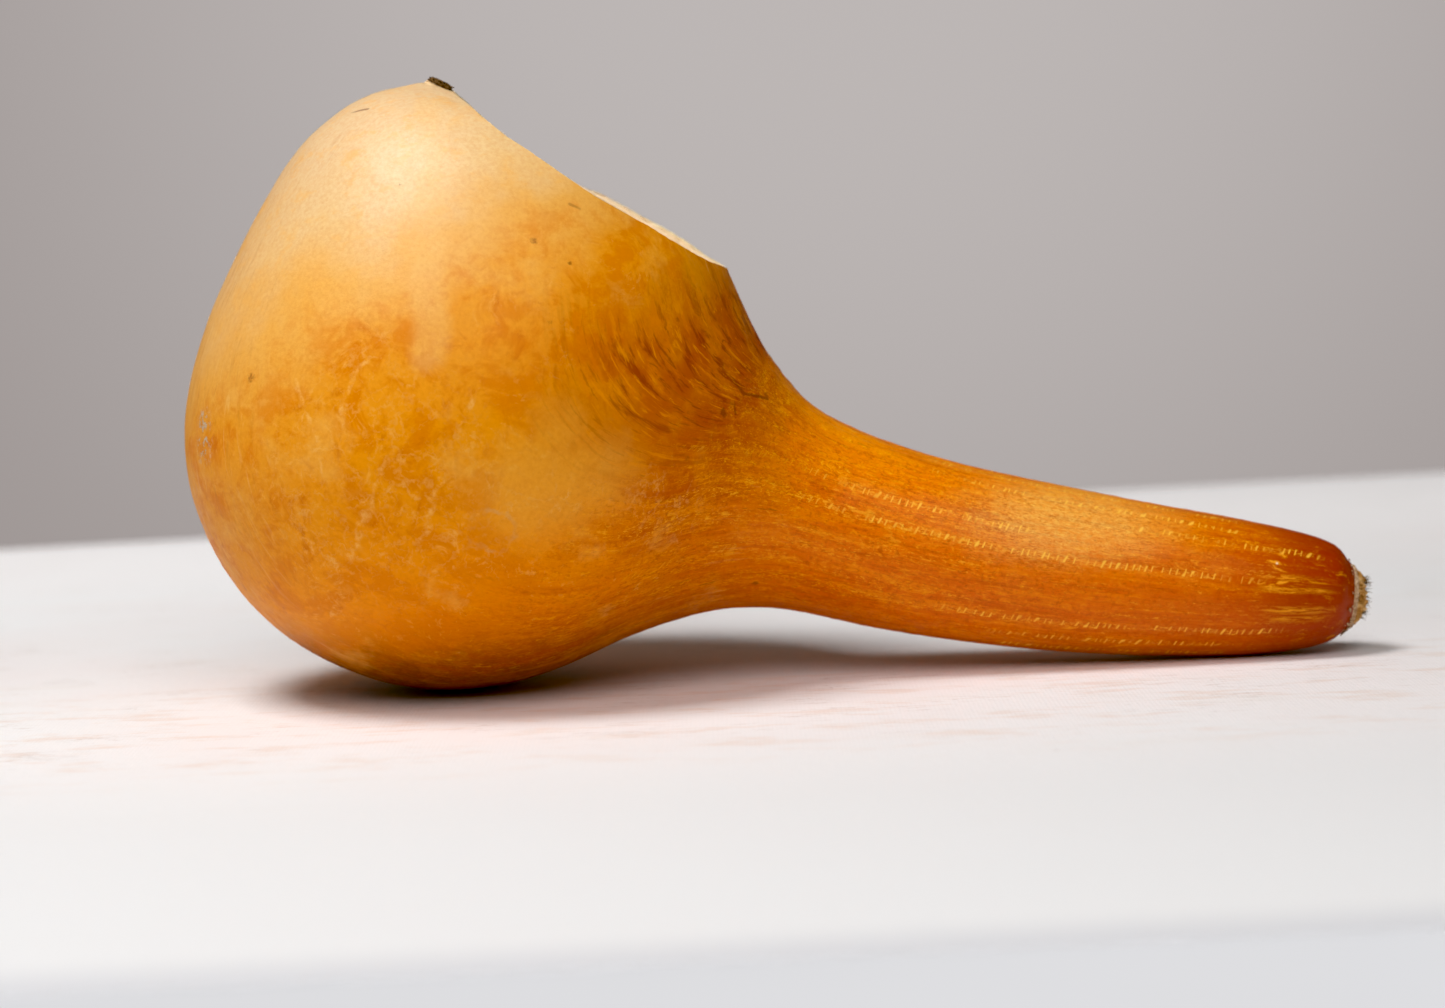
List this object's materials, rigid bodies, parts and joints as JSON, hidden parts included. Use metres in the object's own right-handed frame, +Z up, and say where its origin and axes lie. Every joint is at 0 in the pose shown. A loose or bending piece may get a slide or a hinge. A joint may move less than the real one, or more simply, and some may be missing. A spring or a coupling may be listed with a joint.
{
  "type": "gourd dipper",
  "caption": "Dried bottle gourd dipper: a round crooked bowl sliced open on top, with the long tapering neck left on as its handle and a short broken stem.",
  "frame": {"origin": "on the resting plane, under the middle of the bowl, where its belly touches a table", "axes": "+Z up from the resting plane, +X along the neck from the bowl towards the stem, +Y to the left of someone looking along +X; the gourd is close to mirror-symmetric about the plane Y = 0"},
  "size_m": [0.3003, 0.1416, 0.1552],
  "materials": {
    "rind": "satin",
    "pith": "matte",
    "stem_cork": "matte",
    "stem_wood": "matte",
    "stem_pith": "matte",
    "scar": "matte"
  },
  "bodies": {
    "root": {"rind": "rind", "pith_lining": "pith", "neck_pith": "pith", "stem_collar": "stem_cork", "stem_stub": "stem_wood", "stem_core": "stem_pith", "stem_fibres": "stem_wood", "blossom_scar": "scar"}
  },
  "joints": []
}
